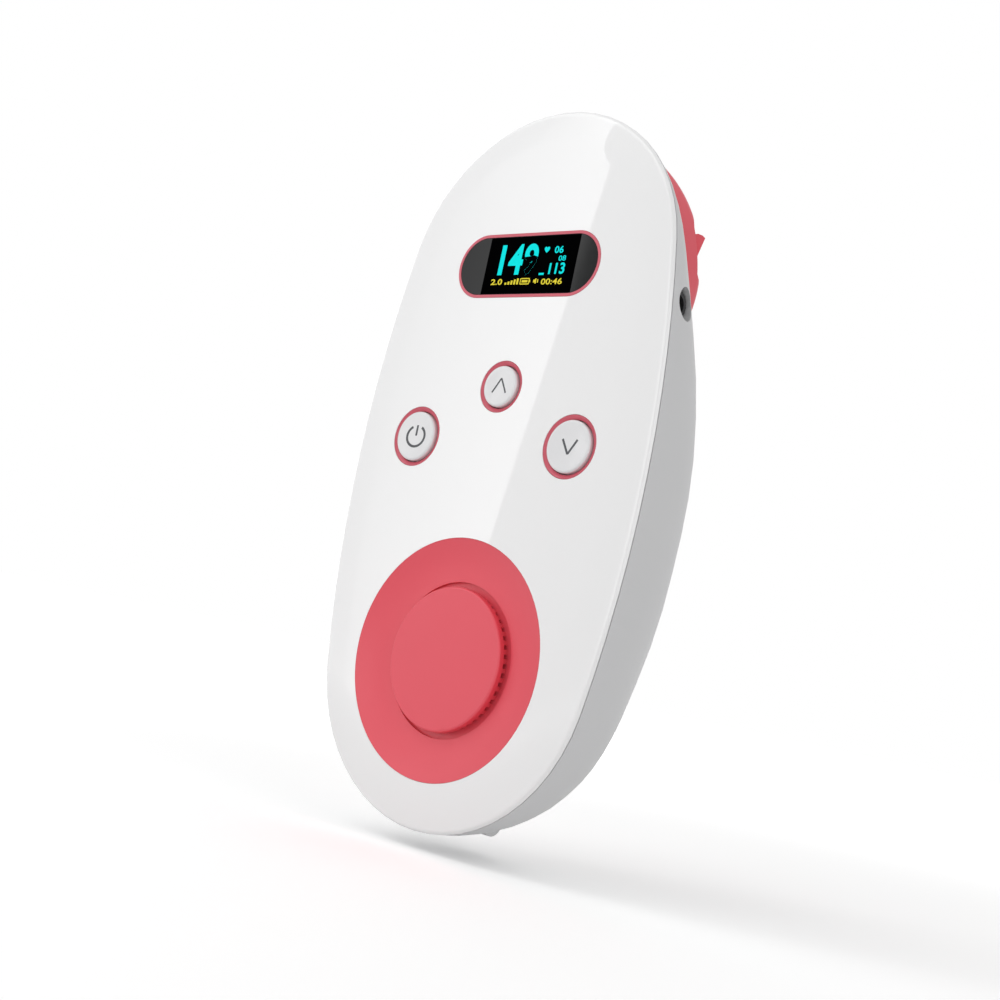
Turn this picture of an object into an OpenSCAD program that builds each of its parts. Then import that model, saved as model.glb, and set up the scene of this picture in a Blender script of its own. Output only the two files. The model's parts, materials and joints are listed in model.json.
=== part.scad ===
// Hand-held fetal doppler monitor with its ultrasound probe docked on the back.
// Every piece is drawn with the monitor lying on its back: X to the right, Y up the
// face towards the display, Z out of the face, and the face itself at Z = 0.
// stand() then turns it upright: the face looks along -Y and the display end is up.

/* [Body] */
// Length of the body, bottom to top
body_len = 135; // [134:1:140]
// Width of the body at its middle
body_w = 70; // [68:1:74]
// Radius of the two long sides of the outline
flank_r = 227.5; // [200:0.5:300]
// Thickness of the front cover at its rim
cover_t = 2.1; // [2:0.1:3]
// Radius of the rounded front edge
edge_r = 1.0; // [0.6:0.1:1.2]
// How far the face falls away towards the edge
edge_drop = 1.1; // [0.5:0.1:1.2]
// Width of the band in which the face falls away
edge_band = 8; // [6:0.5:9]
// Width and depth of the groove along the joint of the two covers
seam_groove = 0.3; // [0.2:0.05:0.5]

/* [Back] */
// Depth of the rear cover behind the joint, at its deepest
back_depth = 23.7; // [22.5:0.1:28]
// Depth of the rear cover at the top end
tip_depth = 1.0; // [0.8:0.1:1.5]
// How much shallower the rear cover is at the bottom end
tail_rise = 3.0; // [0:0.5:5]
// Width of the rounded shoulder round the back
shoulder_w = 12; // [10:0.5:14]
// Exponent of the shoulder's curve, where 2 is an ellipse
shoulder_power = 2.2; // [2:0.1:2.6]
// Wall of the rear cover
wall = 2.0; // [1.6:0.1:2.4]
// Height on the face where the back starts to slope up
slope_y = -8; // [-12:1:-4]
// How late the slope steepens, where 1 is an even S
slope_delay = 1.3; // [1.1:0.05:1.5]
// Height on the face where the back starts to thin downwards
tail_y = -20; // [-24:1:-16]

/* [Keys] */
// Height of the two side keys above the middle of the body
side_key_y = 3.3; // [2:0.1:5]
// Distance of the two side keys from the middle line
side_key_x = 18.7; // [17:0.1:20]
// Height of the upper key above the middle of the body
up_key_y = 13.6; // [13:0.2:16]
// Radius of the ring round a side key
side_ring_r = 5.8; // [5.6:0.1:6.5]
// Radius of the ring round the upper key
up_ring_r = 4.9; // [4.8:0.1:5.6]
// Width of the rings
ring_w = 0.8; // [0.7:0.05:1.2]
// How far the key caps stand out of the face
key_proud = 0.5; // [0.3:0.1:0.8]
// Travel of the keys
key_travel = 0.4; // [0.2:0.1:0.5]

/* [Display] */
// Distance of the display's middle from the top end
display_down = 30.6; // [30:0.1:32]
// Width of the display trim
display_w = 35; // [32:0.5:36]
// Height of the display trim
display_h = 13.3; // [13:0.1:15]
// Width of the trim's ring
trim_w = 1.0; // [0.7:0.1:1.3]

/* [Speaker] */
// Distance of the speaker's middle from the bottom end
speaker_up = 30.7; // [30.4:0.1:32]
// Radius of the coloured dish
dish_r = 22; // [21.5:0.1:22.5]
// Depth of the dish at the slot round its cap
dish_depth = 1.9; // [1.4:0.1:2.2]
// Radius of the round cap in the middle of the dish
cap_r = 13.1; // [12:0.1:13.5]
// Width of the slot round the cap
slot_w = 1.1; // [0.8:0.1:1.4]
// Number of ribs that carry the cap
rib_count = 48; // [36:1:52]
// Radius of the loudspeaker's rim
driver_r = 19.5; // [18:0.5:20]

/* [Probe] */
// Distance of the probe's seat from the top end
seat_down = 25.8; // [25:0.1:27]
// Depth of the seat's middle behind the face
seat_s = 12.3; // [11.7:0.1:13]
// Slope of the seat
seat_tilt = 23.6; // [22:0.2:24]
// Radius of the probe
probe_r = 23; // [21:0.5:23.5]
// Height of the probe's side wall
probe_wall_h = 8.5; // [8:0.1:10]
// Height of the dome on the side wall
probe_dome_h = 7.2; // [5.5:0.1:8]
// Wall of the probe's shell
probe_wall = 2.0; // [1.5:0.1:2.2]
// Depth of the finger hollows on both sides of the grip
hollow_depth = 1.8; // [1.4:0.1:2.2]
// Height of the grip over the hollows
grip_h = 3.4; // [2.5:0.1:5]
// Half of the grip's length across the probe
grip_x = 22; // [16:0.5:22]
// Radius of the probe's sound window
lens_r = 13; // [11:0.5:13.5]

/* [Sockets and screws] */
// Distance of the probe socket from the top end
jack_down = 36.2; // [35.5:0.1:37]
// Depth of the probe socket behind the face
jack_s = 7.0; // [6.8:0.1:7.2]
// Radius of the probe socket's bore
jack_bore_r = 1.8; // [1.76:0.01:1.85]
// Radius of the hole in the rear cover round the probe socket
jack_mouth_r = 3.0; // [2.9:0.1:3.5]
// Height of the charging socket above the middle of the body
charge_y = 14; // [12:0.5:16]
// Radius of the hole through the strap eyelet
strap_hole_r = 1.2; // [1:0.1:1.3]
// Width of the strap eyelet
strap_w = 6; // [5:0.5:8]

/* [Inside] */
// Depth of the main board's front behind the face
board_s = 6.0; // [5.9:0.1:6.2]
// Thickness of the main board
board_t = 1.2; // [1:0.1:1.6]
// Thickness of the battery
battery_t = 5.2; // [4:0.1:6]
// Width of the battery
battery_w = 32; // [26:1:33]
// Length of the battery
battery_len = 30; // [24:1:30]

/* [Hidden] */

pink = [0.87, 0.33, 0.40];
white = [0.93, 0.93, 0.93];
light_grey = [0.80, 0.80, 0.80];
black = [0.05, 0.05, 0.06];
steel = [0.70, 0.70, 0.72];
board_green = [0.05, 0.35, 0.20];

$fn = 96;
tiny = 0.01;
gap = 0.05;                     // clearance round a piece that is pressed or glued in
slide_gap = 0.15;               // clearance round a piece that moves
big = 300;

// Outline of four arcs: two flanks and two round ends that meet without a corner
half_len = body_len / 2;
half_w = body_w / 2;
end_r = (2 * flank_r * half_w - half_w * half_w - half_len * half_len) / (2 * (flank_r - half_len));
flank_x = flank_r - half_w;
end_y = half_len - end_r;
join_angle = atan2(end_y, flank_x);
display_y = half_len - display_down;
speaker_y = speaker_up - half_len;
seat_y = half_len - seat_down;
jack_y = half_len - jack_down;

// Back of the rear cover
slope_end = half_len - 1.5;
tail_len = 30;
seam_s = cover_t;
inner_lead = 2.5;               // the cavity's shoulder starts this far in front of the joint
lip_h = 1.0;                    // the front cover's lip reaches this far into the rear cover
lip_t = 1.0;
lip_gap = 0.45;
lip_top = jack_y - 5;           // the lip ends at this height on the face, below the probe socket

// Probe and its seat
probe_top = probe_wall_h + probe_dome_h;
grip_arc_r = 50;                // radius of the arc that the hollows' floor follows across the probe
grip_top_u = 4;                 // the grip's upper face stands this far above the probe's middle
grip_low_u = -2.5;              // and its sloping face runs down to here
hollow_reach = 6;               // length of the hollow beyond the grip's upper face
cavity_rise = 2;                // dome of the hollow inside, kept low under the finger hollows
seat_recess = 1.6;
lens_proud = 1.1;
lens_gap = 0.5;
probe_lift = 0.1;               // the probe's rim stands this far off its seat
base_t = 2;
lens_top = base_t + 1 + probe_lift;
crystal_r = lens_r - 4;
crystal_t = 1;
damper_t = 4;

// Whole depth, for the origin at the middle of the bounding box
back_reach = seat_s + probe_wall_h * cos(seat_tilt)
    + norm([probe_dome_h * cos(seat_tilt), probe_r * sin(seat_tilt)]);
face_y = -(back_reach - key_proud) / 2;

// Display panel, lit through the black window
screen_w = display_w - display_h + 2.2;
screen_h = display_h - 2 * trim_w - 0.8;
screen_t = 1.5;

// Keys
ring_seat = 1.6;                // depth of the rings' seats in the front cover
ring_proud = 0.05;
ring_fall = 0.45;               // how far a key ring's top falls towards its key
cap_gap = 0.2;
cap_flange = 0.7;
flange_s = cover_t + 0.3;
flange_t = 0.6;
switch_w = 6;
switch_top = flange_s + flange_t + key_travel + 0.25;
plunger_r = 1.7;
plunger_gap = 0.1;

// Speaker
floor_s = dish_depth + 0.7;
dish_flange = 1.2;
dish_back = 4.0;
rib_w = 0.85;
rib_len = 1.3;
cap_t = 1.3;
gasket_t = 1.0;
basket_s = dish_back + gasket_t;
basket_depth = 6;
magnet_r = 11;
magnet_t = 5;

// Screws that hold the covers together
boss_r = 2.4;
low_screw_r = dish_r + dish_flange + boss_r + 0.3;
low_screw_x = low_screw_r * cos(42);
low_screw_y = speaker_y - low_screw_r * sin(42);
high_screw_y = speaker_y + low_screw_r * sin(47);
high_screw_x = side_x(high_screw_y) - wall - boss_r - 5.4;
screw_at = [[-low_screw_x, low_screw_y], [low_screw_x, low_screw_y],
            [-high_screw_x, high_screw_y], [high_screw_x, high_screw_y]];
boss_s = 5.5;
screw_r = 1.0;
screw_head_r = 1.9;
screw_head_s = 10.5;
screw_head_t = 1.5;

// Probe socket
jack_len = 8.5;
jack_w = 6;
jack_t = 4.6;
jack_clear = 0.45;              // the socket's barrel ends this far inside the wall
jack_x = side_x(jack_y) - wall - jack_clear;
jack_barrel_r = 2.5;
jack_nose = 4.2;
jack_bore_len = 10.5;

// Charging socket
charge_w = 8.9;
charge_t = 3.2;
charge_len = 7.4;
charge_clear = 0.97;            // the charging socket ends this far inside the wall
charge_x = side_x(charge_y) - wall - charge_clear;
charge_s = board_s + board_t + charge_t / 2;
charge_gap = 0.3;

// Main board, and the posts and screws that carry it beside the battery
board_screw_r = 0.9;
board_screw_head_r = 1.7;
board_screw_head_t = 1;
post_r = 2;
post_x = battery_w / 2 + board_screw_head_r + 1.8;
board_margin = 3.5;
board_half_w = post_x + board_margin;
board_low = speaker_y + driver_r + 4.7;
board_high = jack_y + 8.7;
board_step = 8;                 // the board's top corners are cut off by this much
post_low_y = board_low + 4;
post_high_y = jack_y - jack_w / 2 - post_r - 1.8;
post_at = [[-post_x, post_low_y], [post_x, post_low_y], [-post_x, post_high_y], [post_x, post_high_y]];

// ---------------------------------------------------------------- shared shapes

// Distance from the middle line to the long side, at the height y
function side_x(y) = sqrt(flank_r * flank_r - y * y) - flank_x;

function s_curve(u) = let (t = min(max(u, 0), 1)) t * t * (3 - 2 * t);

// Depth of the back behind the joint, at the height y on the face
function hull_depth(y) = back_depth
    - tail_rise * s_curve((tail_y - y) / tail_len)
    - (back_depth - tip_depth) * s_curve(pow(max(y - slope_y, 0) / (slope_end - slope_y), slope_delay));

// One stretch of the outline as [x, y, normal x, normal y]
function arc_points(cx, cy, r, from, sweep, steps) =
    [for (i = [0:steps - 1]) let (a = from + sweep * i / steps)
        [cx + r * cos(a), cy + r * sin(a), cos(a), sin(a)]];

function outline(flank_steps, end_steps) = concat(
    arc_points(-flank_x, 0, flank_r, -join_angle, 2 * join_angle, flank_steps),
    arc_points(0, end_y, end_r, join_angle, 180 - 2 * join_angle, end_steps),
    arc_points(flank_x, 0, flank_r, 180 - join_angle, 2 * join_angle, flank_steps),
    arc_points(0, -end_y, end_r, 180 + join_angle, 180 - 2 * join_angle, end_steps));

function inset_outline(inset, flank_steps, end_steps) =
    [for (p = outline(flank_steps, end_steps)) [p[0] - p[2] * inset, p[1] - p[3] * inset]];

module stand() {
    translate([0, face_y, half_len]) rotate([90, 0, 0]) children();
}

module at_probe() {
    translate([0, seat_y, -seat_s]) rotate([seat_tilt, 0, 0]) children();
}

// A cylinder between two depths behind the face
module post(r, from_s, to_s) {
    translate([0, 0, -to_s]) cylinder(r = r, h = to_s - from_s);
}

module ring(r_out, r_in, from_s, to_s) {
    difference() {
        post(r_out, from_s, to_s);
        post(r_in, from_s - 1, to_s + 1);
    }
}

module slab(w, h, from_s, to_s) {
    translate([-w / 2, -h / 2, -to_s]) cube([w, h, to_s - from_s]);
}

// A plate with round ends between two depths behind the face
module stadium(w, h, from_s, to_s) {
    translate([0, 0, -to_s]) linear_extrude(to_s - from_s) {
        square([w - h, h], center = true);
        for (x = [-1, 1]) translate([x * (w - h) / 2, 0]) circle(h / 2);
    }
}

// Faces that join rings of points into a skin. Each ring has n points in the same order.
function skin_faces(n, rings) = concat(
    [for (k = [0:rings - 1], i = [0:n - 1]) [k * n + i, k * n + (i + 1) % n, (k + 1) * n + i]],
    [for (k = [0:rings - 1], i = [0:n - 1])
        [k * n + (i + 1) % n, (k + 1) * n + (i + 1) % n, (k + 1) * n + i]]);

// The boat-shaped body behind the joint: rings that step inwards and backwards
// over the shoulder, closed by a back that bends only along the monitor.
module hull_body(inset, lead, trim, flank_steps, end_steps, rings) {
    rim = outline(flank_steps, end_steps);
    n = len(rim);
    half = n / 2;
    top = rings * n;
    function at(i) = top + (i + n) % n;
    function facing(i) = at(flank_steps + half - i);
    points = [for (k = [0:rings]) let (q = 90 * k / rings,
                                       e = inset + shoulder_w * (1 - pow(cos(q), 2 / shoulder_power)),
                                       f = pow(sin(q), 2 / shoulder_power))
        for (p = rim) let (x = p[0] - p[2] * e, y = p[1] - p[3] * e)
            [x, y, -(seam_s - lead + (hull_depth(y) - trim + lead) * f)]];
    polyhedron(points = points, faces = concat(
        [[for (i = [n - 1:-1:0]) i]],
        skin_faces(n, rings),
        [for (j = [0:half - 1]) let (i = j - end_steps / 2)
            if (j == 0) [at(i), at(i + 1), facing(i + 1)]
            else if (j == half - 1) [at(i), at(i + 1), facing(i)]
            else [at(i), at(i + 1), facing(i + 1), facing(i)]]),
        convexity = 4);
}

// A flat plate with the body's outline and a shaped edge. The edge is a list of [inset, z]
// that starts at the plate's underside.
module plate_body(edge, flank_steps, end_steps) {
    rim = outline(flank_steps, end_steps);
    n = len(rim);
    rings = len(edge) - 1;
    polyhedron(points = [for (q = edge, p = rim) [p[0] - p[2] * q[0], p[1] - p[3] * q[0], q[1]]],
        faces = concat(
            [[for (i = [0:n - 1]) i]],
            [for (f = skin_faces(n, rings)) [f[0], f[2], f[1]]],
            [[for (i = [n - 1:-1:0]) rings * n + i]]),
        convexity = 4);
}

// ---------------------------------------------------------------- covers

// Edge of the front cover: groove, rounded rim and the band in which the face falls away
function cover_edge() = let (
    band_r = (edge_band * edge_band + edge_drop * edge_drop) / (2 * edge_drop),
    round_steps = 4,
    band_steps = 5)
    concat(
        [[seam_groove * 1.5, -cover_t], [seam_groove * 1.5, -cover_t + seam_groove],
         [0, -cover_t + seam_groove]],
        [for (i = [0:round_steps]) let (a = 90 * i / round_steps)
            if (i > 0 || seam_groove < cover_t - edge_drop - edge_r)
                [edge_r * (1 - cos(a)), -edge_drop - edge_r * (1 - sin(a))]],
        [for (i = [1:band_steps]) let (d = edge_band * (1 - i / band_steps))
            [edge_r + edge_band - d, -(band_r - sqrt(band_r * band_r - d * d))]]);

// Lip that holds the two covers in line, a little inside the rear cover's wall. It ends
// where the rear cover is too shallow for it.
module locating_lip() {
    intersection() {
        translate([0, 0, -cover_t - lip_h]) linear_extrude(lip_h + 0.2) difference() {
            polygon(inset_outline(wall + lip_gap, 8, 16));
            polygon(inset_outline(wall + lip_gap + lip_t, 8, 16));
        }
        translate([-big / 2, lip_top - big, -big / 2]) cube(big);
    }
}

module key_hole(x, y, r) {
    translate([x, y, 0]) {
        post(r + gap, -1, ring_seat);
        post(r - ring_w + gap, -1, cover_t + 1);
    }
}

module front_cover() {
    color(white) stand() difference() {
        union() {
            plate_body(cover_edge(), 12, 24);
            locating_lip();
            for (p = screw_at) translate([p[0], p[1], 0]) post(boss_r, cover_t - tiny, boss_s);
            for (p = post_at) translate([p[0], p[1], 0]) post(post_r, cover_t - tiny, board_s);
        }
        key_hole(-side_key_x, side_key_y, side_ring_r);
        key_hole(0, up_key_y, up_ring_r);
        key_hole(side_key_x, side_key_y, side_ring_r);
        translate([0, display_y, 0]) {
            stadium(display_w + 2 * gap, display_h + 2 * gap, -1, ring_seat);
            slab(screen_w + gap, screen_h + 0.4, -1, cover_t + 1);
        }
        translate([0, speaker_y, 0]) post(dish_r + gap, -1, cover_t + 1);
        for (p = screw_at) translate([p[0], p[1], 0])
            post(screw_r + gap, cover_t + 0.4, boss_s + 1);
        for (p = post_at) translate([p[0], p[1], 0])
            post(board_screw_r + gap, cover_t + 0.4, board_s + 1);
    }
}

// Round-cornered opening for the charging plug, through the left wall
module charge_hole() {
    w = charge_w + 2 * charge_gap;
    t = charge_t + 2 * charge_gap;
    translate([-charge_x + 1, charge_y, -charge_s]) rotate([0, -90, 0]) linear_extrude(6) {
        square([t, w - t], center = true);
        for (y = [-1, 1]) translate([0, y * (w - t) / 2]) circle(t / 2);
    }
}

module strap_eyelet() {
    eyelet_r = strap_hole_r + 1.5;
    translate([-strap_w / 2, -half_len + eyelet_r + 0.6, -19.5]) rotate([0, 90, 0]) {
        cylinder(r = eyelet_r, h = strap_w);
        translate([-eyelet_r, 0, 0]) cube([2 * eyelet_r, 9, strap_w]);
    }
}

module strap_hole() {
    translate([-strap_w, -half_len + strap_hole_r + 2.1, -19.5])
        rotate([0, 90, 0]) cylinder(r = strap_hole_r, h = 2 * strap_w);
}

module rear_cover() {
    color(light_grey) stand() difference() {
        union() {
            hull_body(0, 0, 0, 12, 24, 10);
            difference() {
                at_probe() cylinder(r = probe_r, h = 7);
                translate([-big / 2, -big / 2, -seam_s]) cube(big);
            }
            strap_eyelet();
        }
        difference() {
            hull_body(wall, inner_lead, wall + 0.2, 8, 16, 6);
            for (p = screw_at) translate([p[0], p[1], 0]) post(boss_r, boss_s + 0.1, 40);
        }
        at_probe() {
            translate([0, 0, -probe_top]) cylinder(r = probe_r + slide_gap, h = probe_top);
            translate([0, 0, -1]) cylinder(r = lens_r + lens_gap, h = 1 + seat_recess);
        }
        for (p = screw_at) translate([p[0], p[1], 0]) {
            post(screw_r + 0.25, 0, 40);
            post(screw_head_r + 0.2, screw_head_s, 40);
        }
        translate([jack_x - jack_nose + 0.5, jack_y, -jack_s]) rotate([0, 90, 0])
            cylinder(r = jack_mouth_r, h = 9);
        charge_hole();
        strap_hole();
    }
}

module cover_screws() {
    color(steel) stand() for (p = screw_at) translate([p[0], p[1], 0]) {
        post(screw_r, cover_t + 0.7, screw_head_s + tiny);
        difference() {
            post(screw_head_r, screw_head_s, screw_head_s + screw_head_t);
            for (a = [0, 90]) rotate([0, 0, a])
                slab(2.2, 0.5, screw_head_s + 0.8, screw_head_s + 3);
        }
    }
}

// ---------------------------------------------------------------- display

module display_trim() {
    color(pink) stand() translate([0, display_y, 0]) difference() {
        stadium(display_w, display_h, -ring_proud, ring_seat);
        stadium(display_w - 2 * trim_w, display_h - 2 * trim_w, -1, ring_seat + 1);
    }
}

module display_window() {
    color(black) stand() translate([0, display_y, 0])
        stadium(display_w - 2 * trim_w - 2 * gap, display_h - 2 * trim_w - 2 * gap, 0, ring_seat);
}

module display_panel() {
    color(black) stand() translate([0, display_y, 0]) {
        slab(screen_w + 3, screen_h + 5, cover_t, cover_t + screen_t);
        slab(screen_w - 0.4, screen_h, ring_seat, cover_t + tiny);
        slab(screen_w / 2, screen_h / 3, cover_t + screen_t - tiny, board_s);
    }
}

// ---------------------------------------------------------------- keys

// A ring whose top falls towards its key
module key_ring(x, y, r) {
    color(pink) stand() translate([x, y, 0]) rotate_extrude() polygon([
        [r, -ring_seat], [r, ring_proud - 0.1], [r - 0.1, ring_proud],
        [r - ring_w, ring_proud - ring_fall], [r - ring_w, -ring_seat]]);
}

// A shallow dished cap with a rounded edge, a flange under the cover and a stem
module key_cap(x, y, r) {
    cap = r - ring_w - cap_gap;
    round_r = 0.5;
    dish = 0.12;
    steps = 6;
    color(white) stand() translate([x, y, 0]) rotate_extrude() polygon(concat(
        [[0, key_proud - dish]],
        [for (i = [1:steps]) let (t = i / steps) [(cap - round_r) * t, key_proud - dish * (1 - t * t)]],
        [for (i = [1:steps]) let (a = 90 - 90 * i / steps)
            [cap - round_r + round_r * cos(a), key_proud - round_r + round_r * sin(a)]],
        [[cap, -flange_s], [cap + cap_flange, -flange_s], [cap + cap_flange, -flange_s - flange_t],
         [0, -flange_s - flange_t]]));
}

module key_plunger(x, y) {
    color(black) stand() translate([x, y, 0])
        post(plunger_r, flange_s + flange_t, switch_top + 0.9);
}

module key_switch(x, y) {
    color(steel) stand() translate([x, y, 0]) difference() {
        slab(switch_w, switch_w, switch_top, board_s);
        post(plunger_r + plunger_gap, switch_top - 1, switch_top + 0.9 + key_travel + 0.2);
    }
}

module power_ring() { key_ring(-side_key_x, side_key_y, side_ring_r); }
module up_ring() { key_ring(0, up_key_y, up_ring_r); }
module down_ring() { key_ring(side_key_x, side_key_y, side_ring_r); }
module power_cap() { key_cap(-side_key_x, side_key_y, side_ring_r); }
module up_cap() { key_cap(0, up_key_y, up_ring_r); }
module down_cap() { key_cap(side_key_x, side_key_y, side_ring_r); }
module power_plunger() { key_plunger(-side_key_x, side_key_y); }
module up_plunger() { key_plunger(0, up_key_y); }
module down_plunger() { key_plunger(side_key_x, side_key_y); }
module power_switch() { key_switch(-side_key_x, side_key_y); }
module up_switch() { key_switch(0, up_key_y); }
module down_switch() { key_switch(side_key_x, side_key_y); }

// ---------------------------------------------------------------- speaker

// The dish falls in a shallow curve from the face to the slot round the cap
module speaker_dish() {
    inner_r = cap_r + slot_w;
    steps = 8;
    color(pink) stand() translate([0, speaker_y, 0]) rotate_extrude() polygon(concat(
        [[dish_r, 0]],
        [for (i = [1:steps]) let (t = i / steps)
            [dish_r - (dish_r - inner_r) * t, -dish_depth * (1 - (1 - t) * (1 - t))]],
        [[inner_r, -floor_s], [cap_r - 2.2, -floor_s], [cap_r - 2.2, -dish_back],
         [dish_r - 2, -dish_back], [dish_r - 2, -cover_t - 1], [dish_r + dish_flange, -cover_t - 1],
         [dish_r + dish_flange, -cover_t], [dish_r, -cover_t]]));
}

// A round cap on a ring of ribs: the sound leaves between the ribs and up the slot
module speaker_cap() {
    round_r = 0.5;
    steps = 5;
    color(pink) stand() translate([0, speaker_y, 0]) {
        rotate_extrude() polygon(concat(
            [[0, -cap_t], [0, 0]],
            [for (i = [0:steps]) let (a = 90 - 90 * i / steps)
                [cap_r - round_r + round_r * cos(a), -round_r + round_r * sin(a)]],
            [[cap_r, -cap_t]]));
        for (i = [0:rib_count - 1]) rotate([0, 0, 360 * i / rib_count])
            translate([cap_r - 0.4 - rib_len, -rib_w / 2, -floor_s])
                cube([rib_len, rib_w, floor_s - cap_t + tiny]);
    }
}

module speaker_gasket() {
    color(black) stand() translate([0, speaker_y, 0])
        ring(driver_r, driver_r - 3.5, dish_back, dish_back + gasket_t);
}

module speaker_basket() {
    color(steel) stand() translate([0, speaker_y, 0]) rotate_extrude() polygon([
        [driver_r, -basket_s], [driver_r, -basket_s - 1.2],
        [driver_r - 2.5, -basket_s - 1.2], [magnet_r - 1, -basket_s - basket_depth],
        [0, -basket_s - basket_depth], [0, -basket_s - basket_depth + 1],
        [magnet_r - 2, -basket_s - basket_depth + 1], [driver_r - 3.4, -basket_s - 0.4],
        [driver_r - 3.4, -basket_s]]);
}

module speaker_cone() {
    color(black) stand() translate([0, speaker_y, 0]) rotate_extrude() polygon([
        [driver_r - 3.5, -basket_s - 0.1], [driver_r - 3.5, -basket_s - 0.4],
        [6, -basket_s - 3.4], [5.5, -basket_s - basket_depth + 1], [5, -basket_s - basket_depth + 1],
        [5, -basket_s - 3.2], [0, -basket_s - 2.4], [0, -basket_s - 2.0], [5.6, -basket_s - 2.9],
        [driver_r - 4.2, -basket_s - 0.1]]);
}

module speaker_magnet() {
    color(steel) stand() translate([0, speaker_y, 0])
        post(magnet_r, basket_s + basket_depth, basket_s + basket_depth + magnet_t);
}

// ---------------------------------------------------------------- electronics

module main_board() {
    tab_w = charge_w + 3;
    color(board_green) stand() difference() {
        union() {
            translate([-board_half_w, board_low, -board_s - board_t])
                cube([2 * board_half_w, board_high - board_low - board_step, board_t]);
            translate([-board_half_w + board_step, board_low, -board_s - board_t])
                cube([2 * (board_half_w - board_step), board_high - board_low, board_t]);
            translate([-charge_x + 1, charge_y - tab_w / 2, -board_s - board_t])
                cube([charge_x - board_half_w + 1, tab_w, board_t]);
        }
        translate([jack_x - jack_nose - jack_len, jack_y - jack_w / 2, -20]) cube([20, jack_w, 20]);
        for (p = post_at) translate([p[0], p[1], 0])
            post(board_screw_r + 0.15, board_s - 1, board_s + board_t + 1);
    }
}

module board_screws() {
    color(steel) stand() for (p = post_at) translate([p[0], p[1], 0]) {
        post(board_screw_r, cover_t + 0.7, board_s + board_t + tiny);
        post(board_screw_head_r, board_s + board_t, board_s + board_t + board_screw_head_t);
    }
}

// Processor, sound amplifier, ultrasound driver and a row of capacitors
module board_chips() {
    chip = 9;
    small_chip = 6;
    chip_t = 1.1;
    can_r = 1.1;
    can_t = 1.4;
    driver_y = up_key_y + up_ring_r + 7;
    color(black) stand() {
        translate([0, side_key_y - 6.4, 0]) slab(chip, chip, board_s - chip_t, board_s);
        translate([-11, driver_y, 0]) slab(small_chip, small_chip - 1, board_s - chip_t, board_s);
        translate([10, driver_y, 0]) slab(small_chip - 1, small_chip, board_s - chip_t, board_s);
        for (i = [0:3]) translate([(i - 1.5) * 6, driver_y - 5.5, 0]) post(can_r, board_s - can_t, board_s);
    }
}

battery_y = (post_low_y + post_high_y) / 2;
pad_t = 1;
pad_margin = 2;

module battery_pad() {
    front_s = board_s + board_t;
    color(black) stand() translate([0, battery_y, 0])
        slab(battery_w - 2 * pad_margin, battery_len - 2 * pad_margin, front_s, front_s + pad_t);
}

module battery() {
    low_s = board_s + board_t + pad_t;
    color(steel) stand() translate([0, battery_y, 0]) {
        slab(battery_w - battery_t, battery_len, low_s, low_s + battery_t);
        for (x = [-1, 1])
            translate([x * (battery_w - battery_t) / 2, battery_len / 2, -low_s - battery_t / 2])
                rotate([90, 0, 0]) cylinder(r = battery_t / 2, h = battery_len);
    }
}

module probe_socket() {
    color(black) stand() translate([jack_x, jack_y, -jack_s]) difference() {
        union() {
            translate([-jack_nose - jack_len, -jack_w / 2, -jack_t / 2]) cube([jack_len, jack_w, jack_t]);
            rotate([0, -90, 0]) cylinder(r = jack_barrel_r, h = jack_nose + 1);
        }
        rotate([0, -90, 0]) translate([0, 0, -1]) cylinder(r = jack_bore_r, h = jack_bore_len + 1);
    }
}

module charging_socket() {
    color(steel) stand() translate([-charge_x, charge_y, -charge_s]) rotate([0, 90, 0])
        difference() {
            linear_extrude(charge_len) {
                square([charge_t, charge_w - charge_t], center = true);
                for (y = [-1, 1]) translate([0, y * (charge_w - charge_t) / 2]) circle(charge_t / 2);
            }
            translate([0, 0, -1]) linear_extrude(charge_len) {
                square([charge_t - 0.8, charge_w - charge_t], center = true);
                for (y = [-1, 1]) translate([0, y * (charge_w - charge_t) / 2])
                    circle(charge_t / 2 - 0.4);
            }
        }
}

// ---------------------------------------------------------------- probe

// Dome over the side wall as [radius, height] points, from the rim to the top
function dome_points(r, wall_top, dome_h, steps) =
    [for (i = [0:steps]) let (a = 90 * i / steps) [r * cos(a), wall_top + dome_h * sin(a)]];

// Ring sector across the probe. Its profile is a list of [height over the hollows' floor, u].
module across_probe(half_x, profile) {
    half_angle = asin(half_x / grip_arc_r);
    translate([0, 0, grip_arc_r - (probe_top - hollow_depth)]) rotate([-90, 0, 0])
        rotate([0, 0, 90 - half_angle]) rotate_extrude(angle = 2 * half_angle)
            polygon([for (p = profile) [grip_arc_r + p[0], p[1]]]);
}

// Two hollows for the fingertips, one above the grip and one below it
module finger_hollows() {
    top_u = grip_top_u + hollow_reach;
    low_u = grip_low_u - hollow_reach * 0.7;
    cut_h = 12;
    across_probe(probe_r + 3, [
        [0, grip_low_u - 0.8], [0, grip_top_u + 1.2], [0.4, grip_top_u + 2.6], [1.3, grip_top_u + 4.2],
        [3, top_u], [cut_h, top_u], [cut_h, low_u], [2.8, low_u], [1.0, grip_low_u - 2.6]]);
}

// Ridge across the probe: an upright upper face for the fingertip, sloping below
module probe_grip() {
    root = 0.6;
    across_probe(grip_x * grip_arc_r / (grip_arc_r + grip_h), [
        [-root, grip_top_u], [grip_h - 1.4, grip_top_u], [grip_h - 0.5, grip_top_u - 0.4],
        [grip_h, grip_top_u - 0.9], [-root, grip_low_u - 1.2]]);
}

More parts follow.
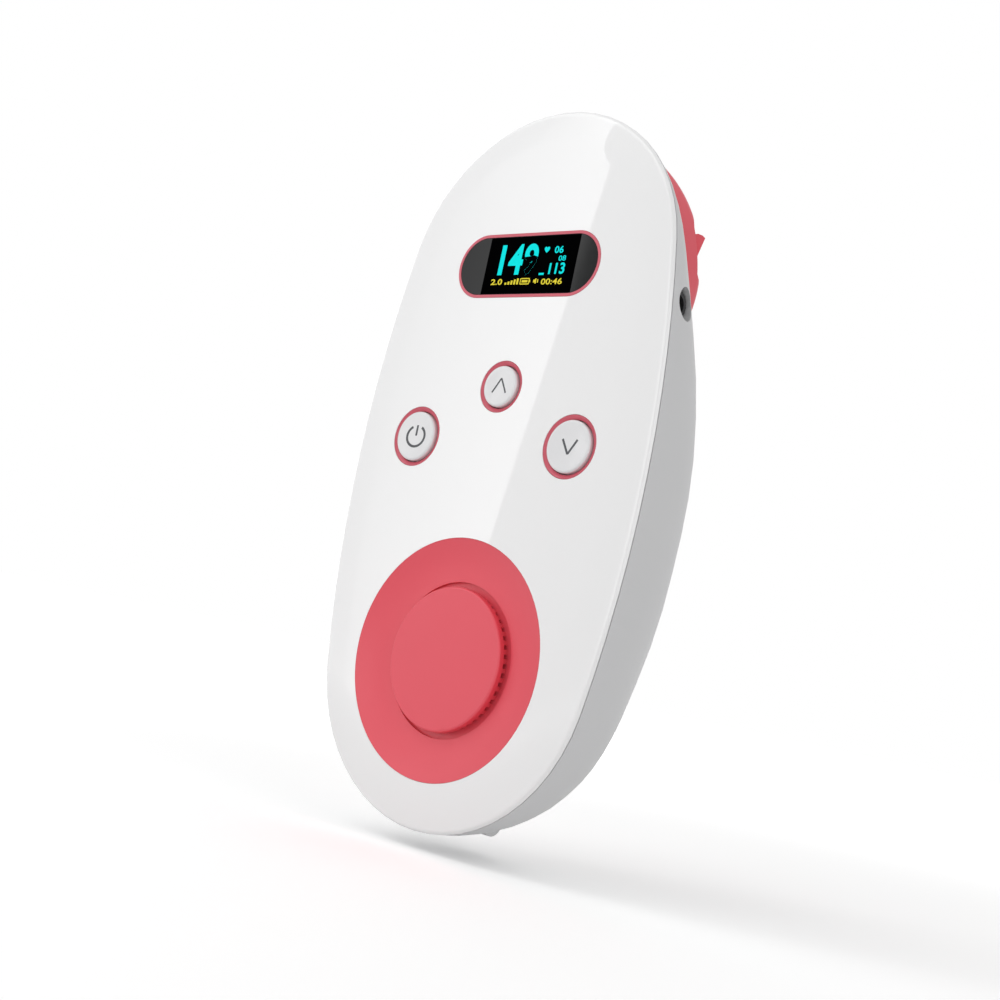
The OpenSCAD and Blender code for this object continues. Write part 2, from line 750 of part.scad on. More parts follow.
module probe_shell() {
    inner_r = probe_r - probe_wall;
    color(pink) stand() at_probe() difference() {
        union() {
            difference() {
                mirror([0, 0, 1]) rotate_extrude() polygon(concat(
                    [[0, probe_lift], [probe_r - 0.4, probe_lift], [probe_r, probe_lift + 0.4]],
                    dome_points(probe_r, probe_wall_h, probe_dome_h, 14)));
                finger_hollows();
            }
            probe_grip();
        }
        mirror([0, 0, 1]) rotate_extrude() polygon(concat(
            [[0, -1], [inner_r, -1]],
            dome_points(inner_r, probe_wall_h, cavity_rise, 6)));
        translate([-probe_r - 1, 0, -5]) rotate([0, 90, 0]) cylinder(r = 2.6 + gap, h = 6);
    }
}

module probe_base() {
    color(white) stand() at_probe() mirror([0, 0, 1]) difference() {
        translate([0, 0, probe_lift]) cylinder(r = probe_r - probe_wall - gap, h = base_t);
        cylinder(r = lens_r + gap, h = 2 * base_t);
    }
}

// Sound window with a slightly domed front and a flange behind the base
module probe_lens() {
    color(light_grey) stand() at_probe() mirror([0, 0, 1]) rotate_extrude() polygon([
        [0, -lens_proud], [lens_r * 0.6, -lens_proud + 0.15], [lens_r - 1, -lens_proud + 0.5],
        [lens_r, 0], [lens_r, base_t + probe_lift], [lens_r + 1.5, base_t + probe_lift],
        [lens_r + 1.5, lens_top], [0, lens_top]]);
}

// Two half-round crystals, one that sends and one that listens
module probe_crystals() {
    split = 1;
    color("gold") stand() at_probe() mirror([0, 0, 1]) difference() {
        translate([0, 0, lens_top]) cylinder(r = crystal_r, h = crystal_t);
        translate([-split / 2, -probe_r, 0]) cube([split, 2 * probe_r, probe_top]);
    }
}

module probe_damper() {
    color(black) stand() at_probe() mirror([0, 0, 1])
        translate([0, 0, lens_top + crystal_t]) cylinder(r = crystal_r + 1.5, h = damper_t);
}

module probe_board() {
    color(board_green) stand() at_probe() mirror([0, 0, 1])
        translate([0, 0, lens_top + crystal_t + damper_t])
            cylinder(r = probe_r - probe_wall - 5, h = board_t);
}

// Rubber ring where the probe's lead goes in
module probe_inlet() {
    color(black) stand() at_probe() translate([-probe_r, 0, -5]) rotate([0, 90, 0]) difference() {
        union() {
            translate([0, 0, -0.8]) cylinder(r = 3.3, h = 0.8 - gap);
            translate([0, 0, -0.8]) cylinder(r = 2.6, h = probe_wall + 1.8);
        }
        translate([0, 0, -2]) cylinder(r = 1.75, h = 8);
    }
}

front_cover();
rear_cover();
cover_screws();
display_trim();
display_window();
display_panel();
power_ring();
up_ring();
down_ring();
power_cap();
up_cap();
down_cap();
power_plunger();
up_plunger();
down_plunger();
power_switch();
up_switch();
down_switch();
speaker_dish();
speaker_cap();
speaker_gasket();
speaker_basket();
speaker_cone();
speaker_magnet();
main_board();
board_chips();
board_screws();
battery_pad();
battery();
probe_socket();
charging_socket();
probe_shell();
probe_base();
probe_lens();
probe_crystals();
probe_damper();
probe_board();
probe_inlet();
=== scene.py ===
import json
import math

import bmesh
import bpy
from mathutils import Matrix, Vector


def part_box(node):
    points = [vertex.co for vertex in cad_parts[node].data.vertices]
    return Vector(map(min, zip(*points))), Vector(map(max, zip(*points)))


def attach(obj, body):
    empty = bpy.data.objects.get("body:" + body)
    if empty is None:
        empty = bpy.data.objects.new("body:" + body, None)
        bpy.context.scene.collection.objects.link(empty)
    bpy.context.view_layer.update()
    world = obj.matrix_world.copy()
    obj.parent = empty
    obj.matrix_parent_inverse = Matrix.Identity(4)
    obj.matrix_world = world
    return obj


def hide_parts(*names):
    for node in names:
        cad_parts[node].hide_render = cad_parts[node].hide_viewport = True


mm = 0.001
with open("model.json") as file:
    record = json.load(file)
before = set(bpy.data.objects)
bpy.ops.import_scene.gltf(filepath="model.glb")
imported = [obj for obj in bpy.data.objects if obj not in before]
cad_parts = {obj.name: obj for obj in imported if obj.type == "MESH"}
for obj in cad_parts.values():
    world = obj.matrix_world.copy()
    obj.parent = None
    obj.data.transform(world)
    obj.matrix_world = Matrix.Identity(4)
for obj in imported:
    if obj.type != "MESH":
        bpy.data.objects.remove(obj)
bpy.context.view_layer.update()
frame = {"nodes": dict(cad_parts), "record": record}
scene = bpy.context.scene
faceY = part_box("front_cover")[0].y / mm   # the face looks along -Y
bodyMiddle = 67.5
print("frame loaded:", len(frame["nodes"]), "nodes")


def onFace(x, y, out=0.0):   # a point of the face, counted from the body's middle, out mm in front of it
    return Vector((x, faceY - out, bodyMiddle + y)) * mm


shot = {
    "place": (180.1, -193.999, 29.5),   # mm, the middle value from the face
    "right": (0.74340, 0.63624, 0.20629),
    "up": (-0.07786, -0.22401, 0.97147),
    "back": (0.66430, -0.73826, -0.11699),
    "lens": 53.064,
    "film": 36.0,
}


def addCamera(shot):
    data = bpy.data.cameras.new("photoCamera")
    data.sensor_fit = "HORIZONTAL"
    data.sensor_width = shot["film"]
    data.lens = shot["lens"]
    data.clip_start = 0.01
    camera = bpy.data.objects.new("photoCamera", data)
    scene.collection.objects.link(camera)
    x, y, z = shot["place"]
    turn = Matrix((shot["right"], shot["up"], shot["back"])).transposed()
    turn = turn.to_quaternion().to_matrix()   # evens out the rounding of the three directions
    camera.matrix_world = Matrix.Translation(Vector((x, faceY + y, z)) * mm) @ turn.to_4x4()
    scene.camera = camera


addCamera(shot)
scene.view_settings.view_transform = "Standard"

world = {
    "light": 0.52,       # what the object is lit with
    "background": 1.0,   # what the camera and the reflections see
}
lamps = {
    "leftSoftbox": {"place": (-842, -600, 182), "facing": (0, 1, 0), "roll": -8.0,
                    "size": (650, 1300), "power": 2.65,
                    "fade": {"From Min": 0.75, "To Min": 0.4, "To Max": 2.4}},
    "topSoftbox": {"place": (-350, -620, 900), "facing": (0.32, 0.55, -0.72), "roll": 0.0,
                   "size": (900, 700), "power": 1.95},
    "frontSoftbox": {"place": (100, -1400, 150), "facing": (0, 1, 0), "roll": 0.0,
                     "size": (1100, 1100), "power": 4.7},
    "rightSoftbox": {"place": (1050, -350, 250), "facing": (-1, 0.3, -0.15), "roll": 0.0,
                     "size": (800, 800), "power": 2.0},
    "rearSoftbox": {"place": (-900, 800, 400), "facing": (0.7, -0.65, -0.3), "roll": 0.0,
                    "size": (900, 900), "power": 2.5},
}
floor = {
    "height": -3.0,      # mm under the lowest point of the body
    "size": 60000,
    "colour": (0.86, 0.86, 0.86),
    "seen": (1.34, 1.34, 1.34),   # as the camera and the reflections see it
    "lift": 0.42,        # added to that away from the object
    "near": 130,         # mm from the object where the lift starts, and where it is whole
    "far": 700,
}


# 1 for what the camera and the reflections see, 0 for what lights the object
def addSeenSwitch(nodes, links):
    path = nodes.new("ShaderNodeLightPath")
    seen = path.outputs["Is Camera Ray"]
    for ray in ("Is Glossy Ray", "Is Transmission Ray"):
        either = nodes.new("ShaderNodeMath")
        either.operation = "MAXIMUM"
        links.new(seen, either.inputs[0])
        links.new(path.outputs[ray], either.inputs[1])
        seen = either.outputs[0]
    return seen


def addNoise(nodes, links, place, scale, detail):
    noise = nodes.new("ShaderNodeTexNoise")
    noise.inputs["Scale"].default_value = scale
    noise.inputs["Detail"].default_value = detail
    links.new(place.outputs["Object"], noise.inputs["Vector"])
    return noise.outputs["Fac"]


def mixTones(nodes, links, factor, one, other):
    tone = nodes.new("ShaderNodeMix")
    tone.data_type = "RGBA"
    tone.inputs["A"].default_value = (*one, 1)
    tone.inputs["B"].default_value = (*other, 1)
    links.new(factor, tone.inputs["Factor"])
    return tone.outputs["Result"]


def addWorld(settings):
    made = bpy.data.worlds.new("studio")
    scene.world = made
    made.use_nodes = True
    nodes, links = made.node_tree.nodes, made.node_tree.links
    nodes.clear()
    seen = addSeenSwitch(nodes, links)
    level = nodes.new("ShaderNodeMix")
    level.data_type = "FLOAT"
    level.inputs["A"].default_value = settings["light"]
    level.inputs["B"].default_value = settings["background"]
    links.new(seen, level.inputs["Factor"])
    sky = nodes.new("ShaderNodeBackground")
    sky.inputs["Color"].default_value = (1, 1, 1, 1)
    links.new(level.outputs["Result"], sky.inputs["Strength"])
    out = nodes.new("ShaderNodeOutputWorld")
    links.new(sky.outputs[0], out.inputs["Surface"])


def addLamp(name, settings):
    data = bpy.data.lights.new(name, "AREA")
    data.shape = "RECTANGLE"
    data.size, data.size_y = (side * mm for side in settings["size"])
    data.energy = settings["power"]
    if "fade" in settings:   # even over most of its width, then brighter towards one edge
        data.use_nodes = True
        nodes, links = data.node_tree.nodes, data.node_tree.links
        place = nodes.new("ShaderNodeNewGeometry")
        across = nodes.new("ShaderNodeSeparateXYZ")
        links.new(place.outputs["Parametric"], across.inputs[0])
        level = nodes.new("ShaderNodeMapRange")
        for socket, value in settings["fade"].items():
            level.inputs[socket].default_value = value
        links.new(across.outputs["X"], level.inputs["Value"])
        links.new(level.outputs["Result"], nodes["Emission"].inputs["Strength"])
    lamp = bpy.data.objects.new(name, data)
    scene.collection.objects.link(lamp)
    aim = Vector(settings["facing"]).to_track_quat("-Z", "Y").to_matrix().to_4x4()
    lamp.matrix_world = (Matrix.Translation(Vector(settings["place"]) * mm) @ aim
                         @ Matrix.Rotation(math.radians(settings["roll"]), 4, "Z"))


def addFloor(settings):
    bm = bmesh.new()
    bmesh.ops.create_grid(bm, x_segments=1, y_segments=1, size=settings["size"] * mm / 2)
    bmesh.ops.translate(bm, verts=bm.verts, vec=(0, 0, settings["height"] * mm))
    plane = finishMesh(bm, "floor")
    material = bpy.data.materials.new("paleFloor")
    material.use_nodes = True
    nodes, links = material.node_tree.nodes, material.node_tree.links
    nodes.clear()
    seen = addSeenSwitch(nodes, links)
    matt = nodes.new("ShaderNodeBsdfDiffuse")
    links.new(mixTones(nodes, links, seen, settings["colour"], settings["seen"]), matt.inputs["Color"])
    place = nodes.new("ShaderNodeTexCoord")
    distance = nodes.new("ShaderNodeVectorMath")
    distance.operation = "LENGTH"
    links.new(place.outputs["Object"], distance.inputs[0])
    lift = nodes.new("ShaderNodeMapRange")
    lift.interpolation_type = "SMOOTHSTEP"
    lift.inputs["From Min"].default_value = settings["near"] * mm
    lift.inputs["From Max"].default_value = settings["far"] * mm
    lift.inputs["To Max"].default_value = settings["lift"]
    links.new(distance.outputs["Value"], lift.inputs["Value"])
    shown = nodes.new("ShaderNodeMath")
    shown.operation = "MULTIPLY"
    links.new(seen, shown.inputs[0])
    links.new(lift.outputs["Result"], shown.inputs[1])
    glow = nodes.new("ShaderNodeEmission")
    links.new(shown.outputs[0], glow.inputs["Strength"])
    both = nodes.new("ShaderNodeAddShader")
    links.new(matt.outputs[0], both.inputs[0])
    links.new(glow.outputs[0], both.inputs[1])
    out = nodes.new("ShaderNodeOutputMaterial")
    links.new(both.outputs[0], out.inputs["Surface"])
    plane.data.materials.append(material)


finishes = {
    "gloss_white": {"colour": (0.885, 0.885, 0.885), "other": (0.870, 0.871, 0.874), "patch": 18,
                    "rough": (0.28, 0.34), "grain": 900, "bump": 0.008, "coat": 1.0},
    "shell_white": {"colour": (0.70, 0.70, 0.705), "other": (0.68, 0.682, 0.69), "patch": 25,
                    "rough": (0.40, 0.48), "grain": 2600, "bump": 0.05, "gloss": 0.25},
    "pink": {"colour": (0.80, 0.077, 0.111), "other": (0.77, 0.072, 0.104), "patch": 60,
             "rough": (0.38, 0.46), "grain": 5200, "bump": 0.12, "gloss": 0.6},
    "ring_pink": {"colour": (0.66, 0.105, 0.150), "other": (0.62, 0.098, 0.140), "patch": 60,
                  "rough": (0.30, 0.38), "grain": 5200, "bump": 0.06},
    "key_white": {"colour": (0.79, 0.79, 0.80), "other": (0.76, 0.76, 0.77), "patch": 40,
                  "rough": (0.22, 0.28), "grain": 2600, "bump": 0.03, "coat": 0.3},
    "window_black": {"colour": (0.006, 0.0065, 0.007), "other": (0.004, 0.0045, 0.005), "patch": 30,
                     "rough": (0.05, 0.08), "grain": 700, "bump": 0.004, "ior": 1.28},
    "panel_black": {"colour": (0.020, 0.020, 0.022), "other": (0.028, 0.028, 0.030), "patch": 300,
                    "rough": (0.45, 0.60), "grain": 3000, "bump": 0.12},
    "screw_steel": {"colour": (0.55, 0.55, 0.57), "other": (0.47, 0.47, 0.49), "patch": 400,
                    "rough": (0.25, 0.40), "grain": 4000, "bump": 0.08, "metal": 1.0},
    "magnet_grey": {"colour": (0.35, 0.35, 0.37), "other": (0.30, 0.30, 0.32), "patch": 200,
                    "rough": (0.30, 0.45), "grain": 3000, "bump": 0.08, "metal": 1.0},
    "board_green": {"colour": (0.020, 0.14, 0.060), "other": (0.014, 0.10, 0.045), "patch": 120,
                    "rough": (0.30, 0.42), "grain": 1800, "bump": 0.10, "coat": 0.2},
    "battery_foil": {"colour": (0.60, 0.60, 0.62), "other": (0.50, 0.50, 0.52), "patch": 90,
                     "rough": (0.28, 0.45), "grain": 500, "bump": 0.25, "metal": 1.0},
    "foam_black": {"colour": (0.016, 0.016, 0.016), "other": (0.028, 0.028, 0.028), "patch": 900,
                   "rough": (0.70, 0.90), "grain": 4200, "bump": 0.30},
    "lens_grey": {"colour": (0.58, 0.59, 0.60), "other": (0.53, 0.54, 0.55), "patch": 60,
                  "rough": (0.30, 0.36), "grain": 1500, "bump": 0.04},
    "crystal_gold": {"colour": (0.72, 0.52, 0.20), "other": (0.64, 0.45, 0.16), "patch": 200,
                     "rough": (0.25, 0.35), "grain": 2500, "bump": 0.06, "metal": 1.0},
    "icon_grey": {"colour": (0.075, 0.078, 0.085), "other": (0.060, 0.062, 0.070), "patch": 300,
                  "rough": (0.40, 0.50), "grain": 4000, "bump": 0.05},
    "screen_black": {"colour": (0.0012, 0.0012, 0.0015), "other": (0.0008, 0.0008, 0.0010), "patch": 200,
                     "rough": (0.50, 0.60), "grain": 900, "bump": 0.004, "gloss": 0.0},
}
surface = {
    "patchDetail": 3,
    "grainDetail": 2,
    "depth": 0.05,       # mm that a bump of 1 stands for
    "coatRough": 0.02,
}
glows = {
    "cyan_light": {"colour": (0.0, 0.84, 0.84), "strength": 1.0},
    "yellow_light": {"colour": (0.90, 0.76, 0.05), "strength": 0.9},
}


lightCells = {
    "scale": 2500,
    "detail": 2,
    "dim": 0.86,         # the light is not quite even from dot to dot
}


def makeFinish(name, look):
    material = bpy.data.materials.new(name)
    material.use_nodes = True
    nodes, links = material.node_tree.nodes, material.node_tree.links
    shader = nodes["Principled BSDF"]
    place = nodes.new("ShaderNodeTexCoord")
    # patches change the tone slowly over the piece, the grain is the surface itself
    patches = addNoise(nodes, links, place, look["patch"], surface["patchDetail"])
    grain = addNoise(nodes, links, place, look["grain"], surface["grainDetail"])
    links.new(mixTones(nodes, links, patches, look["colour"], look["other"]), shader.inputs["Base Color"])
    rough = nodes.new("ShaderNodeMapRange")
    rough.inputs["To Min"].default_value, rough.inputs["To Max"].default_value = look["rough"]
    links.new(grain, rough.inputs["Value"])
    links.new(rough.outputs["Result"], shader.inputs["Roughness"])
    bump = nodes.new("ShaderNodeBump")
    bump.inputs["Strength"].default_value = look["bump"]
    bump.inputs["Distance"].default_value = surface["depth"] * mm
    links.new(grain, bump.inputs["Height"])
    links.new(bump.outputs["Normal"], shader.inputs["Normal"])
    shader.inputs["Metallic"].default_value = look.get("metal", 0.0)
    shader.inputs["IOR"].default_value = look.get("ior", 1.5)
    shader.inputs["Specular IOR Level"].default_value = look.get("gloss", 0.5)
    shader.inputs["Coat Weight"].default_value = look.get("coat", 0.0)
    shader.inputs["Coat Roughness"].default_value = surface["coatRough"]
    return material


def makeGlow(name, look):
    material = bpy.data.materials.new(name)
    material.use_nodes = True
    nodes, links = material.node_tree.nodes, material.node_tree.links
    shader = nodes["Principled BSDF"]
    shader.inputs["Base Color"].default_value = (0.01, 0.01, 0.01, 1)
    shader.inputs["Roughness"].default_value = 0.5
    shader.inputs["Specular IOR Level"].default_value = 0.0
    place = nodes.new("ShaderNodeTexCoord")
    cells = addNoise(nodes, links, place, lightCells["scale"], lightCells["detail"])
    dimmed = [lightCells["dim"] * part for part in look["colour"]]
    links.new(mixTones(nodes, links, cells, look["colour"], dimmed), shader.inputs["Emission Color"])
    shader.inputs["Emission Strength"].default_value = look["strength"]
    return material


materials = {name: makeFinish(name, look) for name, look in finishes.items()}
materials.update({name: makeGlow(name, look) for name, look in glows.items()})
print("finishes made:", len(materials))


smoothing = {
    "weld": 0.0005,      # mm
    "flat": 0.5,         # degrees under which neighbouring faces become one
    "sharp": 30,         # degrees from which an edge is shaded as sharp
}


def finishMesh(bm, name):
    sharp = math.radians(smoothing["sharp"])
    bm.normal_update()
    for edge in bm.edges:
        edge.smooth = len(edge.link_faces) == 2 and edge.calc_face_angle() < sharp
    data = bpy.data.meshes.new(name)
    bm.to_mesh(data)
    bm.free()
    data.polygons.foreach_set("use_smooth", [True] * len(data.polygons))
    made = bpy.data.objects.new(name, data)
    scene.collection.objects.link(made)
    return made


def dress(piece, body, slot, material=None, replaced=()):
    piece.data.materials.clear()
    piece.data.materials.append(materials[material or slot])
    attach(piece, body)
    if replaced:
        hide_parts(*replaced)
    return piece


bodyOf = {node: body for body, nodes in frame["record"]["behaviour"]["bodies"].items() for node in nodes}
slotOf = {part["node"]: part["material_slot"] for part in frame["record"]["subparts"]}
for node, cadObject in frame["nodes"].items():
    for slot in cadObject.material_slots:
        slot.material = materials[slotOf[node]]


faceShading = {
    "flat": 0.999,       # faces that look forwards at least this much count as the face itself
    "keep": 0.3,         # share of its lean that the band round the face shows
    "whole": 40.0,       # degrees from which the edge is shaded as it is
    "level": 10.0,       # degrees under which a corner of the face is set level with it
}


def keepFaceFlat(piece):   # the glossy face mirrors as one flat pane, up to the rounded edge
    data = piece.data
    front = Vector((0, -1, 0))
    facing = [face for face in data.polygons if face.normal.dot(front) > faceShading["flat"]]
    flat = {vert for face in facing for vert in face.vertices}
    normals = [Vector(corner.vector) for corner in data.corner_normals]
    for loop in data.loops:
        normal = normals[loop.index]
        lean = math.degrees(normal.angle(front))
        if loop.vertex_index in flat and lean < faceShading["level"]:
            normals[loop.index] = front
        elif lean < faceShading["whole"]:
            share = (lean / faceShading["whole"]) ** 2
            normals[loop.index] = front.slerp(normal, faceShading["keep"] * (1 - share) + share)
    data.normals_split_custom_set(normals)


def smoothCopy(node, shape=None, material=None, flatFace=False):
    bm = bmesh.new()
    bm.from_mesh(frame["nodes"][node].data)
    bmesh.ops.remove_doubles(bm, verts=bm.verts, dist=smoothing["weld"] * mm)
    if not flatFace:
        flat = math.radians(smoothing["flat"])
        bmesh.ops.dissolve_limit(bm, angle_limit=flat, verts=bm.verts, edges=bm.edges)
    if shape:
        shape(bm)
    piece = finishMesh(bm, node + "Smooth")
    if flatFace:
        keepFaceFlat(piece)
    else:
        # flat faces stay flat up to their edges
        even = piece.modifiers.new("evenShading", "WEIGHTED_NORMAL")
        even.mode = "FACE_AREA"
        even.weight = 100
        even.keep_sharp = True
    return dress(piece, bodyOf[node], slotOf[node], material, replaced=(node,))


jackRim = {
    "middle": (7.0, 31.3),   # mm behind the face and above the body's middle
    "radius": 3.0,
    "round": 0.4,            # at most, because the bevel stops where it would overlap
    "steps": 4,
    "inside": 22.0,          # the hole's edge lies further out than this
    "slack": 0.02,           # mm by which its corners may miss the radius
    "outward": 0.5,          # how much a face has to look outwards to count as the side, not the hole's wall
}


def roundJackRim(bm):
    depth, height = jackRim["middle"]
    middleY, middleZ = (faceY + depth) * mm, (bodyMiddle + height) * mm

    def onRim(vert):
        reach = math.hypot(vert.co.y - middleY, vert.co.z - middleZ)
        onRadius = abs(reach - jackRim["radius"] * mm) < jackRim["slack"] * mm
        return onRadius and vert.co.x > jackRim["inside"] * mm

    rim = []
    for edge in bm.edges:
        if len(edge.link_faces) == 2 and onRim(edge.verts[0]) and onRim(edge.verts[1]):
            outwards = [face.normal.x for face in edge.link_faces]
            if max(outwards) > jackRim["outward"] > min(abs(part) for part in outwards):
                rim.append(edge)
    print("edges round the probe socket:", len(rim))
    bmesh.ops.bevel(bm, geom=rim, offset=jackRim["round"] * mm, offset_type="OFFSET", affect="EDGES",
                    segments=jackRim["steps"], profile=0.5, material=-1, clamp_overlap=True)


trim = {
    "middle": 36.9,          # mm above the body's middle
    "straight": 10.85,       # half of the trim's straight sides
    "band": (6.55, 6.8),     # edges at this reach come in, so that the trim is a fine line
    "inwards": 0.45,
}


def narrowTrim(bm):
    low, high = trim["band"]
    for vert in bm.verts:
        x, y = vert.co.x / mm, vert.co.z / mm - bodyMiddle - trim["middle"]
        along = max(-trim["straight"], min(trim["straight"], x))
        reach = math.hypot(x - along, y)
        if low < reach < high:
            scale = (reach - trim["inwards"]) / reach
            vert.co.x = (along + (x - along) * scale) * mm
            vert.co.z = (y * scale + bodyMiddle + trim["middle"]) * mm


smoothCopy("rear_cover", shape=roundJackRim)
smoothCopy("front_cover", shape=narrowTrim, flatFace=True)
smoothCopy("display_trim", shape=narrowTrim, material="ring_pink")
for node in ("speaker_dish", "speaker_cap", "display_window", "probe_shell", "probe_base", "probe_lens",
             "probe_socket", "charging_socket"):
    smoothCopy(node)
for key in ("power", "up", "down"):
    smoothCopy(key + "_ring", material="ring_pink")
    smoothCopy(key + "_cap")
print("covers, keys, speaker and probe smoothed")

keys = {
    "power": {"cap": (-18.7, 3.3), "radius": 4.8, "place": (-18.5, 3.2), "line": 0.48},
    "up": {"cap": (0, 13.6), "radius": 3.9, "place": (0.1, 13.7), "line": 0.34,
           "wing": (1.65, 2.75), "way": 1},
    "down": {"cap": (18.7, 3.3), "radius": 4.8, "place": (18.95, 3.2), "line": 0.44,
             "wing": (1.65, 2.65), "way": -1},
}
powerSign = {
    "ring": 2.0,
    "opening": 30,       # degrees to each side of the stem
    "stem": (2.15, 0.1),
    "wide": 1.14,        # the sign is a little wider than high
}
signInk = {
    "thick": 0.04,       # mm, to tell the ink's upper side from its lower one
    "above": 0.012,      # mm that it stands on the cap, and that it goes into it
    "under": 0.02,
    "edge": 0.5,         # the cap's edge round this wide
    "proud": 0.5,        # the cap's edge above the face
    "hollow": 0.12,      # and how far its middle is dished
}


def addBar(bm, start, end, width):
    made = bmesh.ops.create_grid(bm, x_segments=6, y_segments=1, size=0.5)["verts"]
    run = Vector(end) - Vector(start)
    bmesh.ops.scale(bm, verts=made, vec=(run.length, width, 1))
    bmesh.ops.rotate(bm, verts=made, cent=(0, 0, 0), matrix=Matrix.Rotation(math.atan2(run.y, run.x), 3, "Z"))
    middle = (Vector(start) + Vector(end)) / 2
    bmesh.ops.translate(bm, verts=made, vec=(middle.x, middle.y, 0))


def addPowerSign(bm, line):
    ring, opening = powerSign["ring"], powerSign["opening"]
    inner = bm.verts.new((0, ring - line / 2, 0))
    outer = bm.verts.new((0, ring + line / 2, 0))
    edge = bm.edges.new((inner, outer))
    bmesh.ops.rotate(bm, verts=[inner, outer], cent=(0, 0, 0),
                     matrix=Matrix.Rotation(math.radians(opening), 3, "Z"))
    bmesh.ops.spin(bm, geom=[inner, outer, edge], cent=(0, 0, 0), axis=(0, 0, 1), dvec=(0, 0, 0),
                   angle=math.radians(360 - 2 * opening), steps=48)
    bmesh.ops.scale(bm, verts=bm.verts, vec=(powerSign["wide"], 1, 1))
    top, bottom = powerSign["stem"]
    addBar(bm, (0, top), (0, bottom), line)


def addSign(key, settings):
    bm = bmesh.new()
    if key == "power":
        addPowerSign(bm, settings["line"])
    else:
        wide, high = settings["wing"]
        way = settings["way"]
        for side in (-1, 1):
            addBar(bm, (0, way * high / 2), (side * wide, -way * high / 2), settings["line"])
    bmesh.ops.recalc_face_normals(bm, faces=bm.faces)
    if sum(face.normal.z for face in bm.faces) < 0:
        bmesh.ops.reverse_faces(bm, faces=bm.faces)
    bmesh.ops.solidify(bm, geom=bm.faces[:], thickness=-signInk["thick"])
    for vert in bm.verts:
        x, y = vert.co.x + settings["place"][0], vert.co.y + settings["place"][1]
        fromMiddle = math.hypot(x - settings["cap"][0], y - settings["cap"][1])
        reach = fromMiddle / (settings["radius"] - signInk["edge"])
        capTop = signInk["proud"] - signInk["hollow"] * (1 - reach * reach)
        upper = vert.co.z > signInk["thick"] / 2
        vert.co = onFace(x, y, capTop + (signInk["above"] if upper else -signInk["under"]))
    bmesh.ops.recalc_face_normals(bm, faces=bm.faces)
    dress(finishMesh(bm, key + "Sign"), key + "_key", "panel_black", "icon_grey")


for key, settings in keys.items():
    addSign(key, settings)
print("key signs made")

display = {
    "middle": (0.7, 36.9),
    "size": (21.74, 11.1),
    "front": 0.012,
    "thick": 0.03,
    "glyph": 0.012,      # how far the lit signs stand on the screen
    "sunk": 0.015,       # and how far the letters go into it
    "spacing": 1.5,      # bolder letters stand further apart by this share of their weight
    "block": 0.5,        # any depth of the letters, to tell their front from their back
}
readings = {   # the weight of the rate breaks its 9, which is whole at 0.034
    "rate": {"text": "149", "box": (-6.95, 34.9, 2.25, 41.0), "material": "cyan_light", "bold": 0.030},
    "heart": {"text": "♥", "box": (3.5, 39.1, 4.75, 40.25), "material": "cyan_light", "bold": 0.0},
    "day": {"text": "06", "box": (6.0, 38.95, 8.05, 40.3), "material": "cyan_light", "bold": 0.022},
    "month": {"text": "08", "box": (7.3, 37.45, 9.0, 38.45), "material": "cyan_light", "bold": 0.012},
    "second": {"text": "113", "box": (5.5, 34.95, 9.2, 37.1), "material": "cyan_light", "bold": 0.026},
    "tone": {"text": "2.0", "box": (-8.1, 33.15, -5.3, 34.3), "material": "yellow_light", "bold": 0.026},
    "clock": {"text": "00:46", "box": (4.25, 33.0, 9.2, 34.15), "material": "yellow_light", "bold": 0.016},
}
marks = {
    "dash": {"bars": [(3.3, 34.85, 4.5, 35.25)], "material": "cyan_light"},
    "levels": {"bars": [(-4.6 + 0.72 * i, 33.15, -4.15 + 0.72 * i, 33.55 + 0.19 * i) for i in range(5)],
               "material": "yellow_light"},
    "charge": {"bars": [(-0.7, 33.1, 1.2, 33.3), (-0.7, 34.15, 1.2, 34.35), (-0.9, 33.15, -0.7, 34.3),
                        (1.2, 33.15, 1.4, 34.3), (1.4, 33.5, 1.6, 33.95), (-0.45, 33.5, 0.95, 33.95)],
               "material": "yellow_light"},
    "sound": {"bars": [(2.35, 33.45, 2.75, 34.0), (2.75, 33.25, 3.05, 34.2), (3.3, 33.4, 3.5, 34.05)],
              "material": "yellow_light"},
}


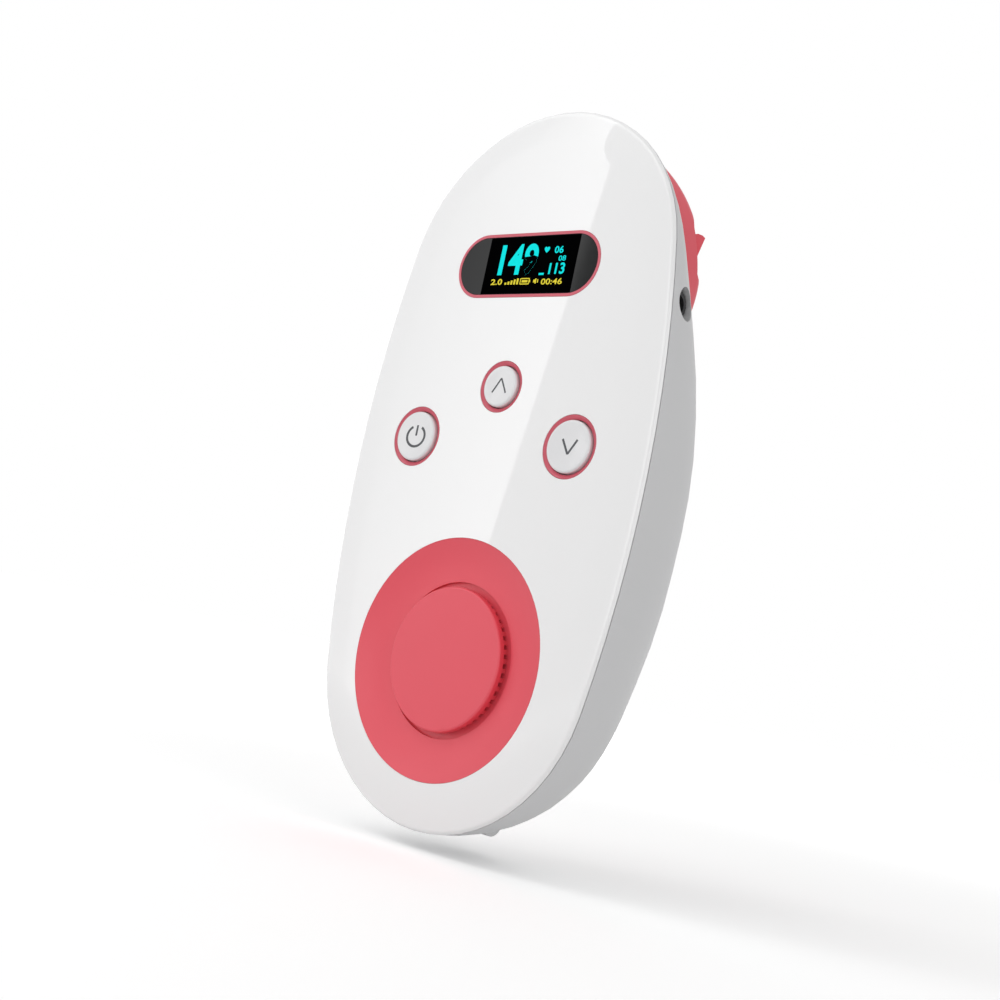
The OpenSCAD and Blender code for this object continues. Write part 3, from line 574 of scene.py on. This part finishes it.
def addPlates(name, boxes, front, slot, material):
    bm = bmesh.new()
    for left, bottom, right, top in boxes:
        made = bmesh.ops.create_cube(bm, size=1)["verts"]
        bmesh.ops.scale(bm, verts=made, vec=((right - left) * mm, display["thick"] * mm, (top - bottom) * mm))
        bmesh.ops.translate(bm, verts=made, vec=onFace((left + right) / 2, (bottom + top) / 2,
                                                       front - display["thick"] / 2))
    return dress(finishMesh(bm, name), "monitor", slot, material)


def addReading(name, settings):
    letters = bpy.data.curves.new(name, "FONT")
    letters.body = settings["text"]
    letters.offset = settings["bold"]
    letters.space_character = 1.0 + display["spacing"] * settings["bold"]
    letters.extrude = display["block"]
    drawn = bpy.data.objects.new(name, letters)
    scene.collection.objects.link(drawn)
    bpy.context.view_layer.update()
    data = bpy.data.meshes.new_from_object(drawn.evaluated_get(bpy.context.evaluated_depsgraph_get()))
    bpy.data.objects.remove(drawn)
    bm = bmesh.new()
    bm.from_mesh(data)
    low = Vector(min(vert.co[i] for vert in bm.verts) for i in range(3))
    high = Vector(max(vert.co[i] for vert in bm.verts) for i in range(3))
    left, bottom, right, top = settings["box"]
    for vert in bm.verts:
        across = (vert.co.x - low.x) / (high.x - low.x)
        up = (vert.co.y - low.y) / (high.y - low.y)
        out = display["front"] + (display["glyph"] if vert.co.z > 0 else -display["sunk"])
        vert.co = onFace(left + across * (right - left), bottom + up * (top - bottom), out)
    bmesh.ops.remove_doubles(bm, verts=bm.verts, dist=smoothing["weld"] * mm)
    bmesh.ops.recalc_face_normals(bm, faces=bm.faces)
    dress(finishMesh(bm, name + "Reading"), "monitor", "window_black", settings["material"])


middleX, middleY = display["middle"]
wide, high = display["size"]
addPlates("litScreen", [(middleX - wide / 2, middleY - high / 2, middleX + wide / 2, middleY + high / 2)],
          display["front"], "window_black", "screen_black")
for name, settings in readings.items():
    addReading(name, settings)
for name, settings in marks.items():
    addPlates(name + "Mark", settings["bars"], display["front"] + display["glyph"], "window_black",
              settings["material"])
print("display drawn")

addWorld(world)
for name, settings in lamps.items():
    addLamp(name, settings)
addFloor(floor)
print("studio ready")
